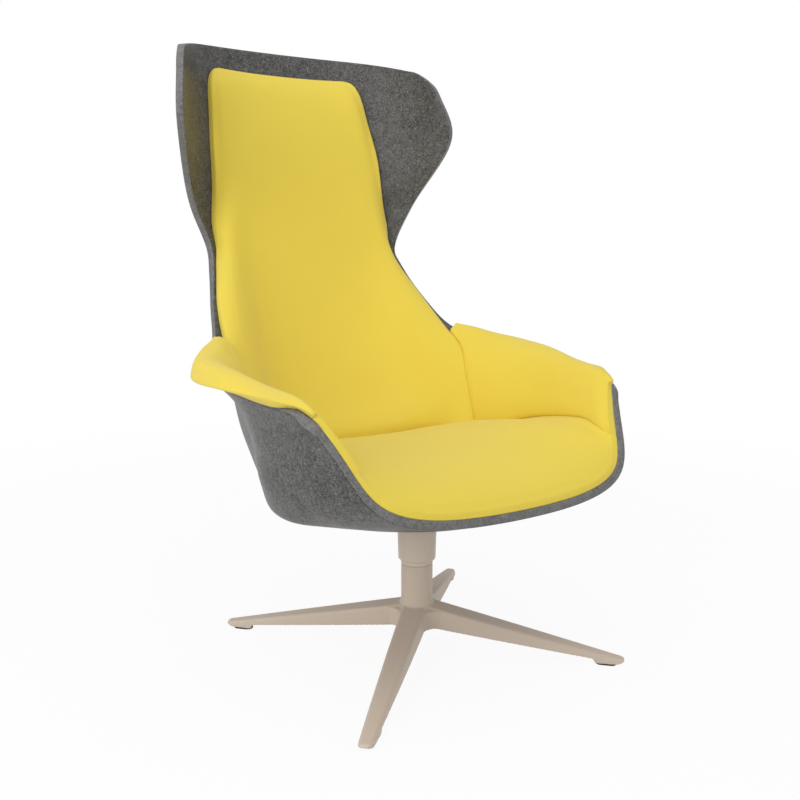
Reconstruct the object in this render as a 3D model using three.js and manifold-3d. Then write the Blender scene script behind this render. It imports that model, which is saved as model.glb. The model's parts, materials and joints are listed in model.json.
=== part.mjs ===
// Acoustic high back lounge chair: a pressed felt shell with winged head, three
// upholstered pads and a seat cushion, on a cast four star swivel base.
// Millimetres, +Z up. The sitter faces -Y and +X is the sitter's left.
import * as THREE from "three";
import { mergeVertices } from "three/addons/utils/BufferGeometryUtils.js";
import Module from "manifold-3d";

const wasm = await Module();
wasm.setup();

// Clearances
const fitGap = 0.3; // between pieces that touch
const seamGap = 1.5; // between two soft pieces
const padGap = 1.7; // between a soft piece and the felt
const armEdgeLift = 4.5; // more of it under an arm pad, where the felt turns outwards
const armLiftOnset = 1.5;
const turnGap = 0.3; // between pieces that turn on each other
const cutOverrun = 2; // how far a cutter stands out of what it cuts

// Felt shell
const shellHalfWidth = 370; // at the widest place of the arms
const shellDepth = 905; // from the front lip to the back of the crown
const shellRise = 900; // from the pressed floor to the top of the crown
const shellFloorZ = 283; // underside of the pressed floor, above the ground
const shellFrontY = -300; // the front lip, from the swivel axis
const feltThickness = 14;
const pressedFloorRadius = 158; // flat inside this, for the plate and the seat board
const pressedFloorFade = 95; // and back to the free form over this

// Upholstery, measured off the felt
const seatRearThickness = 34;
const seatSideThickness = 23;
const seatCrown = 20;
const seatFrontRoll = 75;
const seatSideRoll = 48;
const seatRearRoll = 42;
const seatBridging = 55; // from a seam to where the cover leaves the felt's form
const backPadThickness = 30;
const lumbarFill = 20;
const backRollRadius = 22;
const armPadThickness = 27;
const armEdgeThickness = 16;
const armRollRadius = 22;
const armSpan = 160; // from the seat seam to the edge, as the roll counts it
const armCoverThickness = 21; // over the edge of the felt
const armOverhang = 3; // past the outer skin of the felt, at the front end
const armRearOverhang = 12; // the same at the rear end
const armEndShares = { front: 0.25, rear: 0.3 }; // of the cover, at the ends of an arm pad
const armRearOnset = 130; // the same at its rear end
const armFoldOnset = 60; // from the front end of an arm pad to its full fold
const padHemThickness = 6; // what a pad ends in at an open edge

// Swivel
const columnDiameter = 60;
const columnTopZ = 167; // the seam between the casting and the turning sleeve
const collarBottomZ = 174;
const collarBottomDiameter = 70.6;
const collarTopDiameter = 76;
const collarChamfer = 3;
const sleeveTopZ = 246;
const spindleDiameter = 26;
const spindleFootZ = 72;
const spindleStandout = 10; // above the retaining washer
const bushLength = 22;
const bushWall = 6;
const bushFlangeThickness = 2.5;
const bushFlangeWidth = 4;
const thrustWasherThickness = 2.8;
const thrustWasherWidth = 10;
const retainingWasherThickness = 2.5;
const retainingWasherWidth = 8;
const clipThickness = 1.6;
const clipWidth = 4;
const clipOpening = 8;
const clipGrooveDepth = 1.6;

// Mounting of the seat
const plateSide = 190;
const plateCornerRadius = 22;
const plateThickness = 6;
const plateBoreDiameter = 40;
const boltPitch = 140; // square pattern
const boltDiameter = 8;
const boltHeadWidth = 13; // across the flats
const boltHeadHeight = 5.3;
const boltReach = 9; // how far a bolt stands into the seat board
const boardWidth = 260;
const boardDepth = 180;
const boardCornerRadius = 45;
const boardThickness = 12;
const nutBarrelDiameter = 11;
const nutFlangeDiameter = 22;
const nutFlangeThickness = 1.6;

// Star base
const footCircleRadius = 357;
const toeOverhang = 33; // from the foot circle to the tip
const legRootHalfWidth = 24;
const legToeHalfWidth = 14.4;
const legRootTopZ = 94; // the top face, run back to the axis
const legToeTopZ = 19.5; // and at the foot circle
const legRootUnderZ = 50;
const legToeUnderZ = 9.5;
const legEdgeRadius = 5;
const legDraft = 1.5;
const legTaperPower = 1.6; // the legs keep their width and narrow late
const legWall = 5.5;
const channelRunout = 22; // from solid metal to the full channel under a leg
const heelRunout = 5; // up to the seat of a glide
const noseShares = [
  [0.5, 0.88, 0.08, 0.15], // along the toe, then of its width, off its top, off its underside
  [0.85, 0.7, 0.2, 0.3],
  [1, 0.5, 0.36, 0.45],
];
const hubFilletRadius = 15.4;
const hubUnderZ = 46;
const hubRadius = 45.4;
const webTopZ = 81.2;
const webBevel = 3;
const webInset = 1; // the web inside the flanks of the legs
const webFilletRadius = 38;
const hubPocketDiameter = 48;
const hubPocketTopZ = 62;
const hubCapThickness = 2.4;
const hubCapLip = 5;
const spindleBoltDiameter = 12;
const spindleBoltHeadWidth = 19;
const spindleBoltHeadHeight = 7.5;
const spindleBoltDepth = 24; // how far it screws into the spindle
const spindleBoltWasherDiameter = 34;
const spindleBoltWasherThickness = 3;

// Glides
const glideLength = 38;
const glideWidth = 21;
const glideThickness = 3.4;
const glideStemDiameter = 8;
const glideStemLength = 6;
const glideEndFlat = 0.5; // half the straight end of a glide

// Counts of columns, rows and corners
const feltColumns = 32;
const feltRows = 38;
const padColumns = 20;
const armColumns = 7;
const foldColumns = 4; // of an arm pad, over the edge of the felt
const seatRows = 18; // counted from the front edge, neighbours share their rows
const backRows = 10;
const headRows = 16;
const legEdgeSteps = 2;
const steps = { round: 32, ring: 20, small: 12, corner: 3 };

// Shell stations from the front edge to the crown, chosen by hand. Each is one section of
// the outer skin: mid is its place on the middle line [y, z], reach how far it runs out
// square to that line, knee what pulls it up or forward, edge its end [x, y, z], and flare
// how much of x is turned out in the last stretch. All are shares of the half width, the
// depth and the rise.
const stationShares = [
  { mid: [0.002, 0.05], reach: 0.836, knee: [0.683, 0.043, 0.143], edge: [0.895, 0.138, 0.258], flare: 0 },
  { mid: [0.13, 0.02], reach: 0.9, knee: [0.78, 0.15, 0.085], edge: [0.918, 0.238, 0.256], flare: 0.02 },
  { mid: [0.3, -0.004], reach: 0.955, knee: [0.802, 0.302, 0.036], edge: [0.962, 0.354, 0.267], flare: 0.07 },
  { mid: [0.455, -0.01], reach: 0.855, knee: [0.71, 0.41, 0.068], edge: [0.957, 0.483, 0.278], flare: 0.14 },
  { mid: [0.6, 0.026], reach: 0.735, knee: [0.695, 0.562, 0.157], edge: [0.88, 0.575, 0.29], flare: 0.11 },
  { mid: [0.71, 0.096], reach: 0.7, knee: [0.62, 0.62, 0.246], edge: [0.758, 0.664, 0.325], flare: 0.03 },
  { mid: [0.785, 0.196], reach: 0.6, knee: [0.56, 0.72, 0.348], edge: [0.69, 0.742, 0.392], flare: 0 },
  { mid: [0.83, 0.317], reach: 0.5, knee: [0.5, 0.81, 0.428], edge: [0.638, 0.8, 0.467], flare: 0 },
  { mid: [0.862, 0.427], reach: 0.42, knee: [0.5, 0.86, 0.518], edge: [0.624, 0.83, 0.528], flare: 0 },
  { mid: [0.892, 0.553], reach: 0.46, knee: [0.6, 0.87, 0.623], edge: [0.735, 0.811, 0.636], flare: 0 },
  { mid: [0.925, 0.698], reach: 0.56, knee: [0.7, 0.84, 0.778], edge: [0.857, 0.716, 0.786], flare: 0 },
  { mid: [0.96, 0.854], reach: 0.56, knee: [0.68, 0.88, 0.89], edge: [0.826, 0.745, 0.896], flare: 0 },
  { mid: [1, 1], reach: 0.56, knee: [0.66, 0.9, 0.99], edge: [0.785, 0.785, 0.953], flare: 0 },
];
const kneeShare = 1.3; // how tightly a section is pulled to its knee, 1 being a plain cubic
const flareOnset = 20; // the power that keeps the turned out stretch close to the edge
const cornerShares = { frontSpan: 0.05, frontCut: 0.05, crownSpan: 0.055, crownCut: 0.055 };

// Seams between the soft pieces, as [v, u] places on the shell: v runs from its front edge
// (0) to its crown (1) and u from the middle (0) to its side edge (1).
const armSeamShares = [
  [0, 0.7],
  [0.03, 0.78],
  [0.07, 0.83],
  [0.15, 0.832],
  [0.22, 0.765],
  [0.28, 0.64],
];
const backSeamShares = [
  [0.28, 0.64],
  [0.292, 0.745],
  [0.31, 0.84],
  [0.345, 0.92],
  [0.4, 0.955],
];
const backEdgeShares = [
  [0.4, 0.955],
  [0.475, 0.972],
  [0.55, 0.975],
  [0.625, 0.965],
  [0.7, 0.86],
  [0.765, 0.63],
  [0.8, 0.53],
  [0.84, 0.47],
  [0.89, 0.44],
  [0.965, 0.415],
];
const backCornerShares = { span: 0.045, cut: 0.1 };
const seatSeamShares = { middle: 0.337, side: 0.28, power: 2.2 };

// How the pads are rounded: the height left at an edge, as a share of the pad's own, and
// the sizes that the roundings are counted on, as shares of the shell's.
const rollShares = {
  seam: 0.72,
  lumbarSide: 0.5,
  headSide: 0.3,
  armFront: 0.3,
  armRear: 0.5,
  foldFront: 0.05,
  foldRear: 0.4,
};
const padSpanShares = { seat: 0.7, back: 0.6 };
const padLengthShares = { seat: 0.55, back: 0.95, arm: 0.45 };
const leastWidthShare = 0.02; // of the shell, at the ends of an arm pad
const spacingShare = 0.2; // how much wider the felt's middle columns are
const foldPower = 0.6; // how square the fold of an arm pad is
const tautPasses = 120;
const tautLead = 1.6; // how far each pass goes past the place it finds

const v3 = (x, y, z) => new THREE.Vector3(x, y, z);
const mix = THREE.MathUtils.lerp;
const splineOf = (points) => new THREE.CatmullRomCurve3(points, false, "catmullrom", 0.5);
const bunched = (k) => (1 - Math.cos(Math.PI * k)) / 2; // closer steps at both ends

// Shell surface

function shellSpot(x, [y, z]) {
  return v3(x * shellHalfWidth, shellFrontY + y * shellDepth, shellFloorZ + z * shellRise);
}

const controlLines = [
  splineOf(stationShares.map((s) => shellSpot(0, s.mid))),
  splineOf(stationShares.map((s) => shellSpot(s.reach, s.mid))),
  splineOf(stationShares.map((s) => shellSpot(s.knee[0], s.knee.slice(1)))),
  splineOf(stationShares.map((s) => shellSpot(s.edge[0] - s.flare, s.edge.slice(1)))),
];
const flareLine = splineOf(stationShares.map((s) => v3(s.flare * shellHalfWidth, 0, 0)));

// Outer skin of the shell. u runs from one side edge (-1) to the other (1), v from the
// front edge (0) to the crown (1). Each section is a rational cubic on its control lines.
function outerSkin(u, v) {
  const t = Math.abs(u);
  const w = [
    (1 - t) ** 3,
    3 * t * (1 - t) ** 2 * kneeShare,
    3 * t ** 2 * (1 - t) * kneeShare,
    t ** 3,
  ];
  const sum = w[0] + w[1] + w[2] + w[3];
  const point = v3(0, 0, 0);
  controlLines.forEach((line, k) => point.addScaledVector(line.getPoint(v), w[k] / sum));
  point.x += flareLine.getPoint(v).x * t ** flareOnset;
  point.x *= Math.sign(u);
  const out = Math.hypot(point.x, point.y) - pressedFloorRadius;
  const free = THREE.MathUtils.smoothstep(out, 0, pressedFloorFade);
  point.z = shellFloorZ + Math.max(point.z - shellFloorZ, 0) * free;
  return point;
}

// Direction towards the sitter, square to the skin as measured over a step to each side.
function inwardAt(u, v, step) {
  const across = outerSkin(u + step, v).sub(outerSkin(u - step, v));
  const along = outerSkin(u, Math.min(v + step, 1)).sub(outerSkin(u, Math.max(v - step, 0)));
  return across.cross(along).normalize();
}

const skinStep = 0.01;
const padStep = 0.1; // a wide step, so that a thick pad keeps its shape in the bends

function innerSkin(u, v, lift) {
  return outerSkin(u, v).addScaledVector(inwardAt(u, v, skinStep), feltThickness + lift);
}

// How far out the felt goes at v: to 1, less at the rounded front and crown corners.
function edgeAt(v) {
  const c = cornerShares;
  const round = (d, cut) => (d > 0 ? cut * (1 - Math.sqrt(1 - d * d)) : 0);
  return 1 - round(1 - v / c.frontSpan, c.frontCut) - round(1 - (1 - v) / c.crownSpan, c.crownCut);
}

// A closed solid between two grids of points with the same columns and rows. The faces
// left of the middle column are split the other way, so that a pair of sides is a mirror.
function sheetSolid({ columns, rows, near, far, middle = columns / 2, mirrored = false }) {
  const points = [];
  for (const skin of [near, far])
    for (let j = 0; j <= rows; j++)
      for (let i = 0; i <= columns; i++) points.push(skin(i / columns, j / rows));
  const at = (layer, i, j) => (layer * (rows + 1) + j) * (columns + 1) + i;
  const faces = [];
  const quad = (a, b, c, d) => faces.push(a, b, c, a, c, d);
  for (let j = 0; j < rows; j++)
    for (let i = 0; i < columns; i++) {
      const top = [at(1, i, j), at(1, i + 1, j), at(1, i + 1, j + 1), at(1, i, j + 1)];
      const under = [at(0, i, j), at(0, i, j + 1), at(0, i + 1, j + 1), at(0, i + 1, j)];
      for (const four of [top, under]) {
        if (i < middle) four.push(four.shift());
        quad(...four);
      }
    }
  const rim = [];
  for (let i = 0; i < columns; i++) rim.push([i, 0]);
  for (let j = 0; j < rows; j++) rim.push([columns, j]);
  for (let i = columns; i > 0; i--) rim.push([i, rows]);
  for (let j = rows; j > 0; j--) rim.push([0, j]);
  rim.forEach((a, k) => {
    const b = rim[(k + 1) % rim.length];
    const four = [at(0, ...a), at(0, ...b), at(1, ...b), at(1, ...a)];
    const rising = b[0] + b[1] > a[0] + a[1];
    const left = a[1] === b[1] && Math.min(a[0], b[0]) < middle;
    if (rising === left) four.push(four.shift());
    quad(...four);
  });
  if (mirrored) {
    points.forEach((p) => (p.x = -p.x));
    for (let k = 0; k < faces.length; k += 3)
      [faces[k + 1], faces[k + 2]] = [faces[k + 2], faces[k + 1]];
  }
  return indexed(points, faces);
}

function indexed(points, faces) {
  const geometry = new THREE.BufferGeometry().setFromPoints(points);
  geometry.setIndex(faces);
  geometry.computeVertexNormals();
  return geometry;
}

// Joining and cutting

function solidOf(geometry) {
  const bare = geometry.index ? geometry.toNonIndexed() : geometry.clone();
  bare.deleteAttribute("normal");
  if (bare.hasAttribute("uv")) bare.deleteAttribute("uv");
  const merged = mergeVertices(bare);
  return new wasm.Manifold(
    new wasm.Mesh({
      numProp: 3,
      vertProperties: merged.attributes.position.array,
      triVerts: new Uint32Array(merged.index.array),
    }),
  );
}

function geometryOf(solid) {
  const mesh = solid.getMesh();
  const geometry = new THREE.BufferGeometry();
  geometry.setAttribute("position", new THREE.BufferAttribute(mesh.vertProperties, 3));
  geometry.setIndex(new THREE.BufferAttribute(mesh.triVerts, 1));
  const flat = geometry.toNonIndexed();
  flat.computeVertexNormals();
  return flat;
}

const joined = (parts) => geometryOf(parts.map(solidOf).reduce((a, b) => a.add(b)));

function cut(geometry, cutters) {
  const body = cutters.map(solidOf).reduce((left, c) => left.subtract(c), solidOf(geometry));
  return geometryOf(body);
}

// Turned pieces: a closed profile of [radius, z] round the axis
function turned(profile, sides = steps.round) {
  const points = profile.map(([r, z]) => new THREE.Vector2(r, z));
  if (profile[0][0] > 0) points.push(points[0].clone());
  return new THREE.LatheGeometry(points, sides).rotateX(Math.PI / 2);
}

const disc = (radius, z0, z1, sides) => turned([[0, z0], [radius, z0], [radius, z1], [0, z1]], sides);

const ring = (inner, outer, z0, z1, sides) =>
  turned([[inner, z0], [outer, z0], [outer, z1], [inner, z1]], sides);

function roundedPlate(width, depth, radius) {
  const [x, y] = [width / 2 - radius, depth / 2 - radius];
  const shape = new THREE.Shape();
  shape.absarc(x, y, radius, 0, Math.PI / 2);
  shape.absarc(-x, y, radius, Math.PI / 2, Math.PI);
  shape.absarc(-x, -y, radius, Math.PI, Math.PI * 1.5);
  shape.absarc(x, -y, radius, Math.PI * 1.5, Math.PI * 2);
  return shape;
}

function extruded(shape, z0, z1) {
  const options = { depth: z1 - z0, bevelEnabled: false, curveSegments: steps.corner };
  return new THREE.ExtrudeGeometry(shape, options).translate(0, 0, z0);
}

function hexagon(flats, z0, z1) {
  return disc(flats / Math.sqrt(3), z0, z1, 6);
}

// Felt shell

const boltPlaces = [];
for (const x of [-boltPitch / 2, boltPitch / 2])
  for (const y of [-boltPitch / 2, boltPitch / 2]) boltPlaces.push([x, y]);

const floorTopZ = shellFloorZ + feltThickness;

function boltHoles(z0, z1) {
  const hole = disc(boltDiameter / 2 + fitGap, z0 - cutOverrun, z1 + cutOverrun, steps.small);
  return boltPlaces.map(([x, y]) => hole.clone().translate(x, y, 0));
}

function feltShell() {
  const place = (skin) => (i, j) => {
    const v = (j + bunched(j)) / 2;
    const side = 2 * i - 1;
    const spread = side * (1 + spacingShare - spacingShare * side * side);
    return skin(spread * edgeAt(v), v);
  };
  const [near, far] = [place(outerSkin), place((u, v) => innerSkin(u, v, 0))];
  const sheet = sheetSolid({ columns: feltColumns, rows: feltRows, near, far });
  return cut(sheet, boltHoles(shellFloorZ, floorTopZ));
}

// Soft pieces

// A pad edge: from share of the height at the edge to all of it at the radius.
function roll(distance, radius, share) {
  const k = Math.max(0, 1 - distance / radius);
  return share + (1 - share) * Math.sqrt(1 - k * k);
}

// The value at v of a table of [v, value] rows, on a smooth line through them.
function tableAt(rows) {
  const line = splineOf(rows.map(([v, value]) => v3(v, value, 0)));
  return (v) => {
    let [low, high] = [0, 1];
    for (let k = 0; k < 30; k++) {
      const middle = (low + high) / 2;
      if (line.getPoint(middle).x < v) low = middle;
      else high = middle;
    }
    return line.getPoint(low).y;
  };
}

const armSeamAt = tableAt(armSeamShares);
const backSeamAt = tableAt(backSeamShares);
const backEdgeAt = tableAt(backEdgeShares);
const junctionV = armSeamShares.at(-1)[0];
const shoulderV = backSeamShares.at(-1)[0];
const padTopV = backEdgeShares.at(-1)[0];
const gapU = seamGap / 2 / shellHalfWidth; // half a seam, as a share
const gapV = seamGap / 2 / shellDepth;

// The seam between seat and back bows up to the middle.
function seatSeamBow(side) {
  const { middle, side: end, power } = seatSeamShares;
  return (middle - end) * (1 - Math.abs(side) ** power);
}

// Where a row of the soft pieces lies. Neighbours share their rows, so that both sides of
// a seam have the same corners.
function rowV(row) {
  if (row <= seatRows) return junctionV * bunched(row / seatRows);
  const low = row - seatRows;
  if (low <= backRows) return mix(junctionV, shoulderV, low / backRows);
  const head = (low - backRows) / headRows;
  return mix(shoulderV, padTopV, Math.sin((head * Math.PI) / 2));
}

// Top of a pad: the height is measured off the felt towards the sitter.
function padTop(u, v, height) {
  return innerSkin(u, v, padGap).addScaledVector(inwardAt(u, v, padStep), height);
}

const boardTopZ = floorTopZ + fitGap + boardThickness;

// Lays the inner points of a grid like a taut cloth held at its border. xs and ys are the
// distances of its columns and rows.
function tauten(grid, xs, ys) {
  for (let pass = 0; pass < tautPasses; pass++)
    for (let j = 1; j + 1 < ys.length; j++)
      for (let i = 1; i + 1 < xs.length; i++) {
        const [left, right] = [xs[i] - xs[i - 1], xs[i + 1] - xs[i]];
        const [low, high] = [ys[j] - ys[j - 1], ys[j + 1] - ys[j]];
        const pulls = [
          [grid[j][i - 1], 1 / left / (left + right)],
          [grid[j][i + 1], 1 / right / (left + right)],
          [grid[j - 1][i], 1 / low / (low + high)],
          [grid[j + 1][i], 1 / high / (low + high)],
        ];
        const settled = v3(0, 0, 0);
        for (const [point, pull] of pulls) settled.addScaledVector(point, pull);
        settled.divideScalar(pulls.reduce((sum, [, pull]) => sum + pull, 0));
        grid[j][i].lerp(settled, tautLead);
      }
}

function seatCushion() {
  const rows = seatRows;
  const halfSpan = shellHalfWidth * padSpanShares.seat;
  const length = shellDepth * padLengthShares.seat;
  const place = (i, j) => {
    const side = 2 * bunched(i) - 1;
    const sideV = THREE.MathUtils.clamp(rowV(Math.round(j * rows)), gapV, junctionV - gapV);
    const along = sideV / junctionV;
    const v = sideV + seatSeamBow(side) * along;
    return { side, along, u: side * (armSeamAt(sideV) - gapU), v };
  };
  const near = (i, j) => {
    const { u, v } = place(i, j);
    const point = innerSkin(u, v, padGap);
    point.z = Math.max(point.z, boardTopZ + fitGap);
    return point;
  };
  // The cover: its border stands on the felt, the rest is taut over the foam.
  const upTo = (count) => Array.from({ length: count + 1 }, (_, k) => k);
  const xs = upTo(padColumns).map((i) => halfSpan * place(i / padColumns, 0).side);
  const ys = upTo(rows).map((j) => length * place(0, j / rows).along);
  const cover = ys.map((y, j) => xs.map((x, i) => {
    const { side, along, u, v } = place(i / padColumns, j / rows);
    const flank = mix(padHemThickness, seatSideThickness, roll(y, seatFrontRoll, 0));
    return padTop(u, v, mix(flank, seatRearThickness, along ** 8 * (1 - side * side)));
  }));
  const formed = cover.map((row) => row.map((point) => point.clone()));
  tauten(cover, xs, ys);
  cover.forEach((row, j) => row.forEach((point, i) => {
    const free = Math.min(halfSpan - Math.abs(xs[i]), length - ys[j]);
    point.lerp(formed[j][i], 1 - THREE.MathUtils.smoothstep(free, 0, seatBridging));
  }));
  const crowned = cover.map((row, j) => row.map((point, i) => {
    const edge = !i || !j || i === padColumns || j === rows;
    if (edge) return point;
    const across = row[i + 1].clone().sub(row[i - 1]);
    const up = across.cross(cover[j + 1][i].clone().sub(cover[j - 1][i])).normalize();
    const lengthwise = roll(ys[j], seatFrontRoll, 0) * roll(length - ys[j], seatRearRoll, 0);
    const sideways = roll(halfSpan - Math.abs(xs[i]), seatSideRoll, 0);
    return point.clone().addScaledVector(up, seatCrown * lengthwise * sideways);
  }));
  const far = (i, j) => crowned[Math.round(j * rows)][Math.round(i * padColumns)];
  return sheetSolid({ columns: padColumns, rows, near, far });
}

function backCushion() {
  const halfSpan = shellHalfWidth * padSpanShares.back;
  const length = shellDepth * padLengthShares.back;
  const rows = backRows + headRows;
  const widthAt = (v) => {
    if (v < shoulderV) return backSeamAt(v);
    const corner = Math.max(0, 1 - (padTopV - v) / backCornerShares.span);
    return backEdgeAt(v) - backCornerShares.cut * (1 - Math.sqrt(1 - corner * corner));
  };
  const place = (i, j) => {
    const side = 2 * bunched(i) - 1;
    const sideV = Math.max(rowV(seatRows + Math.round(j * rows)), junctionV + gapV);
    const along = (sideV - junctionV) / (padTopV - junctionV);
    const v = sideV + seatSeamBow(side) * (1 - along) ** 2;
    return { side, along, u: side * (widthAt(sideV) - gapU), v };
  };
  const near = (i, j) => {
    const { u, v } = place(i, j);
    return innerSkin(u, v, padGap);
  };
  const far = (i, j) => {
    const { side, along, u, v } = place(i, j);
    const low = 1 - along;
    const full = backPadThickness + lumbarFill * low * low * (1 - (side * side) / 2);
    const top = roll(low * length, backRollRadius, padHemThickness / full);
    const bottom = roll(along * length, backRollRadius, rollShares.seam);
    const sideShare = v < shoulderV ? rollShares.lumbarSide : rollShares.headSide;
    const sides = roll((1 - Math.abs(side)) * halfSpan, backRollRadius, sideShare);
    return padTop(u, v, full * top * bottom * sides);
  };
  return sheetSolid({ columns: padColumns, rows, near, far });
}

// An arm pad lies on the felt from its seam to the side edge and folds over that edge.
function armPad(mirrored) {
  const columns = armColumns + foldColumns;
  const rows = seatRows + backRows;
  const length = shellDepth * padLengthShares.arm;
  const foldShare = foldColumns / columns;
  const seamAt = (v) => (v < junctionV ? armSeamAt(v) : backSeamAt(v));
  const place = (i, j) => {
    const v = THREE.MathUtils.clamp(rowV(Math.round(j * rows)), gapV, shoulderV - gapV);
    const outer = edgeAt(v);
    const inner = Math.min(seamAt(v) + gapU, outer - leastWidthShare);
    const across = Math.min(i / (1 - foldShare), 1);
    const u = mix(inner, outer, bunched(across));
    const fold = Math.max((i - (1 - foldShare)) / foldShare, 0);
    return { u, v, fold, across, along: v / shoulderV };
  };
  // At the edge: inward off the felt, and outward past it.
  const edgeFrame = (v) => {
    const low = Math.max(v - skinStep, 0);
    const high = v + skinStep;
    const run = outerSkin(edgeAt(high), high).sub(outerSkin(edgeAt(low), low));
    const inward = inwardAt(edgeAt(v), v, skinStep);
    return { inward, outward: run.cross(inward).normalize() };
  };
  const foldDepth = (along) => {
    const onset = THREE.MathUtils.smoothstep(along * length, 0, armFoldOnset);
    const ending = roll((1 - along) * length, armFoldOnset, rollShares.foldRear);
    const depth = feltThickness + mix(armOverhang, armRearOverhang, along);
    return depth * mix(rollShares.foldFront, 1, onset * ending);
  };
  const near = (i, j) => {
    const { u, v, fold, across, along } = place(i, j);
    const point = innerSkin(u, v, padGap + armEdgeLift * across ** armLiftOnset);
    if (!fold) return point;
    const { inward, outward } = edgeFrame(v);
    point.addScaledVector(outward, padGap);
    const down = (fold * foldColumns - 1) / (foldColumns - 1);
    return point.addScaledVector(inward, -foldDepth(along) * down);
  };
  const far = (i, j) => {
    const { u, v, fold, across, along } = place(i, j);
    const front = roll(along * length, armRollRadius, rollShares.armFront);
    const rear = roll((1 - along) * length, armRollRadius, rollShares.armRear);
    const ends = front * rear;
    const seam = roll(across * armSpan, armRollRadius, rollShares.seam);
    const height = mix(armPadThickness, armEdgeThickness, across ** 2) * ends * seam;
    if (!fold) return padTop(u, v, height);
    const { inward, outward } = edgeFrame(v);
    const turn = (fold * Math.PI) / 2;
    const rise = Math.max(Math.cos(turn), 0) ** foldPower;
    const run = Math.max(Math.sin(turn), 0) ** foldPower;
    const depth = foldDepth(along);
    const onset = THREE.MathUtils.smoothstep(along * length, 0, armFoldOnset);
    const ending = THREE.MathUtils.smoothstep((1 - along) * length, 0, armRearOnset);
    const share = mix(armEndShares.front, 1, onset) * mix(armEndShares.rear, 1, ending);
    const cover = armCoverThickness * share;
    return innerSkin(u, v, padGap)
      .addScaledVector(outward, padGap + cover * run)
      .addScaledVector(inward, (height + depth) * rise - depth);
  };
  return sheetSolid({ columns, rows, near, far, middle: 0, mirrored });
}

// Seat mounting

const plateTopZ = shellFloorZ - fitGap;
const plateUnderZ = plateTopZ - plateThickness;

function seatPlate() {
  const outline = roundedPlate(plateSide, plateSide, plateCornerRadius);
  const plate = extruded(outline, plateUnderZ, plateTopZ);
  const bore = disc(plateBoreDiameter / 2, plateUnderZ - cutOverrun, plateTopZ + cutOverrun);
  return cut(plate, [bore, ...boltHoles(plateUnderZ, plateTopZ)]);
}

function seatBoard() {
  const z0 = floorTopZ + fitGap;
  const board = extruded(roundedPlate(boardWidth, boardDepth, boardCornerRadius), z0, boardTopZ);
  const z1 = boardTopZ + cutOverrun;
  const flangeZ = boardTopZ - nutFlangeThickness - fitGap;
  const barrel = disc(nutBarrelDiameter / 2 + fitGap, z0 - cutOverrun, z1, steps.small);
  const flange = disc(nutFlangeDiameter / 2 + fitGap, flangeZ, z1, steps.small);
  const pocketsAt = ([x, y]) => [barrel, flange].map((c) => c.clone().translate(x, y, 0));
  return cut(board, boltPlaces.flatMap(pocketsAt));
}

function seatBolt() {
  const headTopZ = plateUnderZ - fitGap;
  const head = hexagon(boltHeadWidth, headTopZ - boltHeadHeight, headTopZ);
  const tipZ = floorTopZ + fitGap + boltReach;
  return joined([head, disc(boltDiameter / 2, headTopZ - boltHeadHeight / 2, tipZ, steps.small)]);
}

function teeNut() {
  const inner = boltDiameter / 2 + fitGap;
  const top = boardTopZ;
  const low = floorTopZ + fitGap + fitGap;
  return turned(
    [
      [inner, low],
      [nutBarrelDiameter / 2, low],
      [nutBarrelDiameter / 2, top - nutFlangeThickness],
      [nutFlangeDiameter / 2, top - nutFlangeThickness],
      [nutFlangeDiameter / 2, top],
      [inner, top],
    ],
    steps.small,
  );
}

// Swivel

const columnRadius = columnDiameter / 2;
const spindleRadius = spindleDiameter / 2;
const bushRadius = spindleRadius + turnGap + bushWall;
const sleeveBottomZ = columnTopZ + turnGap;
const collarTopZ = plateUnderZ - fitGap;
const flangeTopZ = sleeveTopZ + fitGap + bushFlangeThickness;
const clipZ = flangeTopZ + turnGap + retainingWasherThickness + fitGap;

function swivelCollar() {
  const inner = columnRadius + fitGap;
  return turned([
    [inner, collarBottomZ],
    [collarBottomDiameter / 2 - collarChamfer, collarBottomZ],
    [collarBottomDiameter / 2, collarBottomZ + collarChamfer],
    [collarTopDiameter / 2, collarTopZ],
    [inner, collarTopZ],
  ]);
}

function turningSleeve() {
  return ring(bushRadius + fitGap, columnRadius, sleeveBottomZ, sleeveTopZ);
}

function bush(z0, flanged) {
  const inner = spindleRadius + turnGap;
  const profile = [[inner, z0], [bushRadius, z0], [bushRadius, z0 + bushLength]];
  if (flanged) {
    const lip = bushRadius + bushFlangeWidth;
    profile.push([bushRadius, sleeveTopZ + fitGap], [lip, sleeveTopZ + fitGap], [lip, flangeTopZ]);
    profile.splice(2, 1);
  }
  profile.push([inner, flanged ? flangeTopZ : z0 + bushLength]);
  return turned(profile, steps.ring);
}

function retainingWasher() {
  const z0 = flangeTopZ + turnGap;
  const inner = spindleRadius + fitGap;
  return ring(inner, inner + retainingWasherWidth, z0, z0 + retainingWasherThickness, steps.ring);
}

// An open spring clip in the groove of the spindle.
function retainingClip() {
  const inner = spindleRadius - clipGrooveDepth + fitGap;
  const outer = inner + clipWidth;
  const open = Math.asin(clipOpening / 2 / inner);
  const shape = new THREE.Shape();
  shape.absarc(0, 0, outer, open, Math.PI * 2 - open);
  shape.absarc(0, 0, inner, Math.PI * 2 - open, open, true);
  const options = { depth: clipThickness, bevelEnabled: false, curveSegments: steps.small };
  return new THREE.ExtrudeGeometry(shape, options).translate(0, 0, clipZ);
}

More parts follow.
